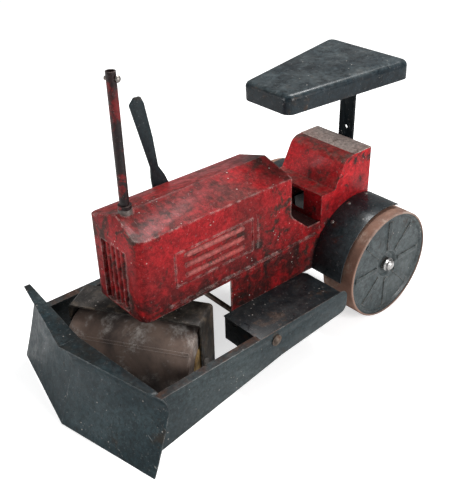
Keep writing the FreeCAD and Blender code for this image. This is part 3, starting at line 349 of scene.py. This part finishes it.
SLOT_FINISH = {"blue_grey_paint": BLADE_PAINT, "black_paint": BLACK_PAINT, "wheel_grey": DISC_PAINT,
               "rusted_steel": TREAD_RUST, "bare_steel": STEEL, "red_paint": HOOD_RED, "wood": WOOD}
slot_of = {item["node"]: item["material_slot"] for item in frame["record"]["subparts"]}
body_of = {node: body for body, nodes in frame["record"]["behaviour"]["bodies"].items() for node in nodes}


def finish_for(node):
    return FINISH.get(node) or SLOT_FINISH[slot_of[node]]


# ---------------------------------------------------------------- mesh helpers
def linked(name, data):
    piece = bpy.data.objects.new(name, data)
    scene.collection.objects.link(piece)
    return piece


def place_mesh(name, mesh, body, material):
    """A finished piece: one material, riding on its body."""
    piece = linked(name, mesh)
    mesh.materials.clear()
    mesh.materials.append(material)
    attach(piece, body)
    return piece


def baked(piece):
    """A plain mesh of a piece with its modifiers applied; the piece itself goes."""
    bpy.context.view_layer.update()
    graph = bpy.context.evaluated_depsgraph_get()
    mesh = bpy.data.meshes.new_from_object(piece.evaluated_get(graph))
    old = piece.data
    bpy.data.objects.remove(piece)
    if isinstance(old, bpy.types.Mesh):
        bpy.data.meshes.remove(old)
    return mesh


def loft(name, sections):
    """A closed mesh through equal rings of points, capped at both ends."""
    work = bmesh.new()
    rings = [[work.verts.new(point) for point in section] for section in sections]
    count = len(rings[0])
    for first, second in zip(rings, rings[1:]):
        for index in range(count):
            following = (index + 1) % count
            work.faces.new((first[index], first[following], second[following], second[index]))
    work.faces.new(rings[0])
    work.faces.new(rings[-1][::-1])
    bmesh.ops.recalc_face_normals(work, faces=work.faces)
    mesh = bpy.data.meshes.new(name)
    work.to_mesh(mesh)
    work.free()
    return mesh


# ---------------------------------------------------------------- softened pieces
WELD_DISTANCE = 2e-6
FLAT_ANGLE = radians(0.4)
SHARP_ANGLE = radians(32)
SOFT_SEGMENTS = 2
SOFT_EDGES = {"hood_shell": 0.7, "seat_box": 0.6, "seat_box_lid": 0.4, "fork": 0.6, "lift_lever": 0.8,
              "footplate_left": 0.5, "footplate_right": 0.5, "arm_left": 0.5, "arm_right": 0.5,
              "blade_left": 0.5, "blade_right": 0.5, "fender_left": 0.5, "fender_right": 0.5,
              "wheel_disc_outer_left": 0.6, "wheel_disc_outer_right": 0.6, "seat_strut": 0.6}


def merged_mesh(node):
    """The CAD node's mesh in the row frame, its vertices welded and its flat faces merged."""
    source = frame["nodes"][node]
    work = bmesh.new()
    work.from_mesh(source.data)
    work.transform(source.matrix_world)
    bmesh.ops.remove_doubles(work, verts=work.verts, dist=WELD_DISTANCE)
    bmesh.ops.dissolve_limit(work, angle_limit=FLAT_ANGLE, verts=work.verts, edges=work.edges)
    bmesh.ops.recalc_face_normals(work, faces=work.faces)
    mesh = bpy.data.meshes.new(node + "_soft")
    work.to_mesh(mesh)
    work.free()
    mesh.shade_smooth()
    return mesh


def soften(node, width):
    """Replace a CAD node by a copy whose sharp edges are a little round, as pressed steel is."""
    draft = linked(node + "_draft", merged_mesh(node))
    bevel = draft.modifiers.new("round", "BEVEL")
    bevel.width = width
    bevel.segments = SOFT_SEGMENTS
    bevel.limit_method = "ANGLE"
    bevel.angle_limit = SHARP_ANGLE
    bevel.harden_normals = True
    bevel.use_clamp_overlap = True
    piece = place_mesh(node + "_soft", baked(draft), body_of[node], finish_for(node))
    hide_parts(node)


for node, width in SOFT_EDGES.items():
    soften(node, width * MM)

for node, item in frame["nodes"].items():
    if node not in SOFT_EDGES:
        for place in item.material_slots:
            place.material = finish_for(node)


# ---------------------------------------------------------------- geometry trees
def new_tree(name, inputs):
    """A geometry tree with its named inputs: the tree, what comes in and where the result goes."""
    tree = bpy.data.node_groups.new(name, "GeometryNodeTree")
    for label, kind in (("Geometry", "Geometry"), *inputs):
        tree.interface.new_socket(label, in_out="INPUT", socket_type="NodeSocket" + kind)
    tree.interface.new_socket("Geometry", in_out="OUTPUT", socket_type="NodeSocketGeometry")
    return tree, tree.nodes.new("NodeGroupInput").outputs, tree.nodes.new("NodeGroupOutput").inputs


def run_tree(draft, tree, values):
    """The plain mesh that a geometry tree makes of a draft piece, with its inputs set first."""
    live = draft.modifiers.new(tree.name, "NODES")
    live.node_group = tree
    sockets = {item.name: item.identifier for item in tree.interface.items_tree if item.in_out == "INPUT"}
    for label, value in values.items():
        live[sockets[label]] = value
    draft.update_tag()
    return baked(draft)


# ---------------------------------------------------------------- weld beads
BEAD_SUBDIVISIONS = 3
BEAD_LEAST, BEAD_MOST = 0.8, 1.2
ARM_WELD_PITCH = 2.2 * MM
ARM_WELD_RADIUS = 1.5 * MM
ARM_WELD_INSET = 2.4 * MM
ARM_WELD_ENDS = ((1.2 * MM, 12 * MM), (14.0 * MM, 44 * MM))


def bead_tree():
    """Overlapping beads of slightly different size along a curve."""
    tree, given, made = new_tree("weld_beads", (("Pitch", "Float"), ("Bead Radius", "Float"),
                                                ("Seed", "Int"), ("Finish", "Material")))
    to_points = tree.nodes.new("GeometryNodeCurveToPoints")
    to_points.mode = "LENGTH"
    ball = tree.nodes.new("GeometryNodeMeshIcoSphere")
    ball.inputs["Subdivisions"].default_value = BEAD_SUBDIVISIONS
    lay = tree.nodes.new("GeometryNodeInstanceOnPoints")
    vary = tree.nodes.new("FunctionNodeRandomValue")
    vary.data_type = "FLOAT"
    vary.inputs[2].default_value = BEAD_LEAST
    vary.inputs[3].default_value = BEAD_MOST
    real = tree.nodes.new("GeometryNodeRealizeInstances")
    smooth = tree.nodes.new("GeometryNodeSetShadeSmooth")
    paint = tree.nodes.new("GeometryNodeSetMaterial")
    link = tree.links.new
    link(given["Geometry"], to_points.inputs["Curve"])
    link(given["Pitch"], to_points.inputs["Length"])
    link(given["Bead Radius"], ball.inputs["Radius"])
    link(given["Seed"], vary.inputs["Seed"])
    link(to_points.outputs["Points"], lay.inputs["Points"])
    link(to_points.outputs["Rotation"], lay.inputs["Rotation"])
    link(ball.outputs["Mesh"], lay.inputs["Instance"])
    link(vary.outputs[1], lay.inputs["Scale"])
    link(lay.outputs["Instances"], real.inputs["Geometry"])
    link(real.outputs["Geometry"], smooth.inputs["Geometry"])
    link(smooth.outputs["Geometry"], paint.inputs["Geometry"])
    link(given["Finish"], paint.inputs["Material"])
    link(paint.outputs["Geometry"], made["Geometry"])
    return tree


def weld(name, points, seed, tree):
    """A line of weld beads through the points, on the blade's body."""
    curve = bpy.data.curves.new(name + "_path", "CURVE")
    curve.dimensions = "3D"
    line = curve.splines.new("POLY")
    line.points.add(len(points) - 1)
    for spot, point in zip(line.points, points):
        spot.co = (*point, 1.0)
    values = {"Pitch": ARM_WELD_PITCH, "Bead Radius": ARM_WELD_RADIUS, "Seed": seed, "Finish": BLADE_PAINT}
    mesh = run_tree(linked(name + "_path", curve), tree, values)
    place_mesh(name, mesh, "blade_lift", BLADE_PAINT)


BEADS = bead_tree()
arm_low, arm_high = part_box("arm_left")
for sign, side in ((1, "left"), (-1, "right")):
    web = (arm_high.x - ARM_WELD_INSET) * sign
    ends = [(web, arm_low.y + back, arm_low.z + up) for back, up in ARM_WELD_ENDS]
    weld("arm_weld_" + side, ends, 3 + sign, BEADS)

# ---------------------------------------------------------------- hood louvres, in millimetres
LOUVRE_FRONT, LOUVRE_REAR = -126.0, -20.0
LOUVRE_HEIGHT = 219.5
LOUVRE_SEAT = 55.6
LOUVRE_PROUD, LOUVRE_HALF_TALL = 3.6, 4.2
LOUVRE_STEP = -15.5
LOUVRE_COUNT = 3
LOUVRE_HALF_STEPS, LOUVRE_TURNS = 20, 12
LOUVRE_SQUARENESS, LOUVRE_END = 14, 0.02


def louvre_tree():
    """The same pressed louvre repeated down the hood side."""
    tree, given, made = new_tree("louvre_row", (("Count", "Int"), ("Step", "Vector"), ("Finish", "Material")))
    row = tree.nodes.new("GeometryNodeMeshLine")
    row.mode = "OFFSET"
    lay = tree.nodes.new("GeometryNodeInstanceOnPoints")
    real = tree.nodes.new("GeometryNodeRealizeInstances")
    paint = tree.nodes.new("GeometryNodeSetMaterial")
    link = tree.links.new
    link(given["Count"], row.inputs["Count"])
    link(given["Step"], row.inputs["Offset"])
    link(row.outputs["Mesh"], lay.inputs["Points"])
    link(given["Geometry"], lay.inputs["Instance"])
    link(lay.outputs["Instances"], real.inputs["Geometry"])
    link(real.outputs["Geometry"], paint.inputs["Geometry"])
    link(given["Finish"], paint.inputs["Material"])
    link(paint.outputs["Geometry"], made["Geometry"])
    return tree


def louvre_mesh(sign):
    """One half-round pressed bar with drawn-in ends, its back just inside the hood side."""
    sections = []
    for step in range(2 * LOUVRE_HALF_STEPS + 1):
        share = step / LOUVRE_HALF_STEPS - 1.0
        swell = max(1.0 - abs(share) ** LOUVRE_SQUARENESS, LOUVRE_END) ** 0.5
        along = (LOUVRE_FRONT + LOUVRE_REAR) / 2.0 + (LOUVRE_REAR - LOUVRE_FRONT) / 2.0 * share
        angles = [pi * turn / LOUVRE_TURNS - pi / 2.0 for turn in range(LOUVRE_TURNS + 1)]
        sections.append([((LOUVRE_SEAT + LOUVRE_PROUD * swell * cos(angle)) * sign * MM, along * MM,
                          (LOUVRE_HEIGHT + LOUVRE_HALF_TALL * swell * sin(angle)) * MM) for angle in angles])
    mesh = loft("louvre", sections)
    mesh.shade_smooth()
    return mesh


LOUVRES = louvre_tree()
for sign, side in ((1, "left"), (-1, "right")):
    values = {"Count": LOUVRE_COUNT, "Step": (0.0, 0.0, LOUVRE_STEP * MM), "Finish": LOUVRE_RED_DUST_AND_HIGHLIGHT}
    mesh = run_tree(linked("louvre_draft", louvre_mesh(sign)), LOUVRES, values)
    place_mesh("louvres_" + side, mesh, "chassis", LOUVRE_RED_DUST_AND_HIGHLIGHT)

# ---------------------------------------------------------------- roller seam
REST_STEER = radians(32.4)
DRUM_RADIUS, DRUM_HALF = 54.0 * MM, 88.0 * MM
SEAM_ANGLE = radians(47.0)
SEAM_HALF_STEPS = 11
# Each corner of the lap: its turn round the drum in radians, and how far it stands proud in millimetres.
SEAM_SECTION = ((-0.050, -0.2), (-0.050, 0.7), (0.030, 0.9), (0.044, 0.3), (0.044, -0.2))


def drum_seam():
    """The lapped seam along the roller, facing up and forward at rest."""
    along = Vector((cos(REST_STEER), sin(REST_STEER), 0.0))
    ahead = Vector((sin(REST_STEER), -cos(REST_STEER), 0.0))
    pivot = Vector(next(joint for joint in frame["joints"] if joint["name"] == "roller_spin")["pos_m"])
    sections = []
    for step in range(2 * SEAM_HALF_STEPS + 1):
        reach = DRUM_HALF * (step / SEAM_HALF_STEPS - 1.0)
        ring = []
        for turn, proud in SEAM_SECTION:
            out = ahead * cos(SEAM_ANGLE + turn) + Vector((0.0, 0.0, sin(SEAM_ANGLE + turn)))
            ring.append(pivot + along * reach + out * (DRUM_RADIUS + proud * MM))
        sections.append(ring)
    place_mesh("roller_seam", loft("roller_seam", sections), "roller", ROLLER_RUST)


drum_seam()

# ---------------------------------------------------------------- stage, light and camera
FLOOR_REACH = 9.0
FLOOR_COLOR = (0.80, 0.80, 0.80, 1.0)
FLOOR_LIFT = 0.60
SKY_STRENGTH = 0.30
SEEN_SKY_STRENGTH = 1.0
SOFTBOXES = {
    "top": {"place": (-0.15, 0.75, 1.9), "target": (0.0, 0.0, 0.1), "size": (0.6, 0.6), "power": 36.0},
    "front_left": {"place": (-0.9, -1.9, 0.75), "target": (0.0, -0.05, 0.15), "size": (0.6, 0.8),
                   "power": 26.0},
    "near_side": {"place": (1.9, 0.3, 0.95), "target": (0.0, 0.0, 0.2), "size": (0.7, 0.9), "power": 32.0},
}


def floor():
    """Pale paper that takes the shadows; it is lifted towards white for the camera alone."""
    mesh = bpy.data.meshes.new("floor")
    corners = [(-FLOOR_REACH, -FLOOR_REACH, 0), (FLOOR_REACH, -FLOOR_REACH, 0),
               (FLOOR_REACH, FLOOR_REACH, 0), (-FLOOR_REACH, FLOOR_REACH, 0)]
    mesh.from_pydata(corners, [], [(0, 1, 2, 3)])
    material = bpy.data.materials.new("white_paper")
    material.use_nodes = True
    tree = material.node_tree
    tree.nodes.clear()
    output = tree.nodes.new("ShaderNodeOutputMaterial")
    add = tree.nodes.new("ShaderNodeAddShader")
    paper = tree.nodes.new("ShaderNodeBsdfDiffuse")
    paper.inputs["Color"].default_value = FLOOR_COLOR
    lift = tree.nodes.new("ShaderNodeEmission")
    path = tree.nodes.new("ShaderNodeLightPath")
    scale = tree.nodes.new("ShaderNodeMath")
    scale.operation = "MULTIPLY"
    scale.inputs[1].default_value = FLOOR_LIFT
    link = tree.links.new
    link(path.outputs["Is Camera Ray"], scale.inputs[0])
    link(scale.outputs[0], lift.inputs["Strength"])
    link(paper.outputs[0], add.inputs[0])
    link(lift.outputs[0], add.inputs[1])
    link(add.outputs[0], output.inputs["Surface"])
    mesh.materials.append(material)
    linked("floor", mesh)


def softbox(name, place, target, size, power):
    light = bpy.data.lights.new(name, "AREA")
    light.shape = "RECTANGLE"
    light.size, light.size_y = size
    light.energy = power
    lamp = linked(name, light)
    lamp.location = place
    lamp.rotation_euler = (Vector(target) - Vector(place)).to_track_quat("-Z", "Y").to_euler()


def world():
    """A dim white sky for the object, plain white for the camera."""
    sky = bpy.data.worlds.new("studio")
    sky.use_nodes = True
    nodes, link = sky.node_tree.nodes, sky.node_tree.links.new
    dim = nodes["Background"]
    dim.inputs["Color"].default_value = WHITE
    dim.inputs["Strength"].default_value = SKY_STRENGTH
    seen = nodes.new("ShaderNodeBackground")
    seen.inputs["Color"].default_value = WHITE
    seen.inputs["Strength"].default_value = SEEN_SKY_STRENGTH
    path = nodes.new("ShaderNodeLightPath")
    choose = nodes.new("ShaderNodeMixShader")
    link(path.outputs["Is Camera Ray"], choose.inputs[0])
    link(dim.outputs[0], choose.inputs[1])
    link(seen.outputs[0], choose.inputs[2])
    link(choose.outputs[0], nodes["World Output"].inputs["Surface"])
    scene.world = sky


floor()
world()
for name, settings in SOFTBOXES.items():
    softbox(name, **settings)

camera_data = bpy.data.cameras.new("camera")
camera_data.lens = 53.62
camera_data.sensor_width = 36.0
camera_data.shift_x = -0.053
camera_data.shift_y = -0.033
camera_data.dof.use_dof = False
camera = linked("camera", camera_data)
camera.location = (0.7177, -0.6110, 0.7407)
camera.rotation_euler = (radians(59.1), 0.0, radians(46.8))
scene.camera = camera
scene.view_settings.view_transform = "Standard"
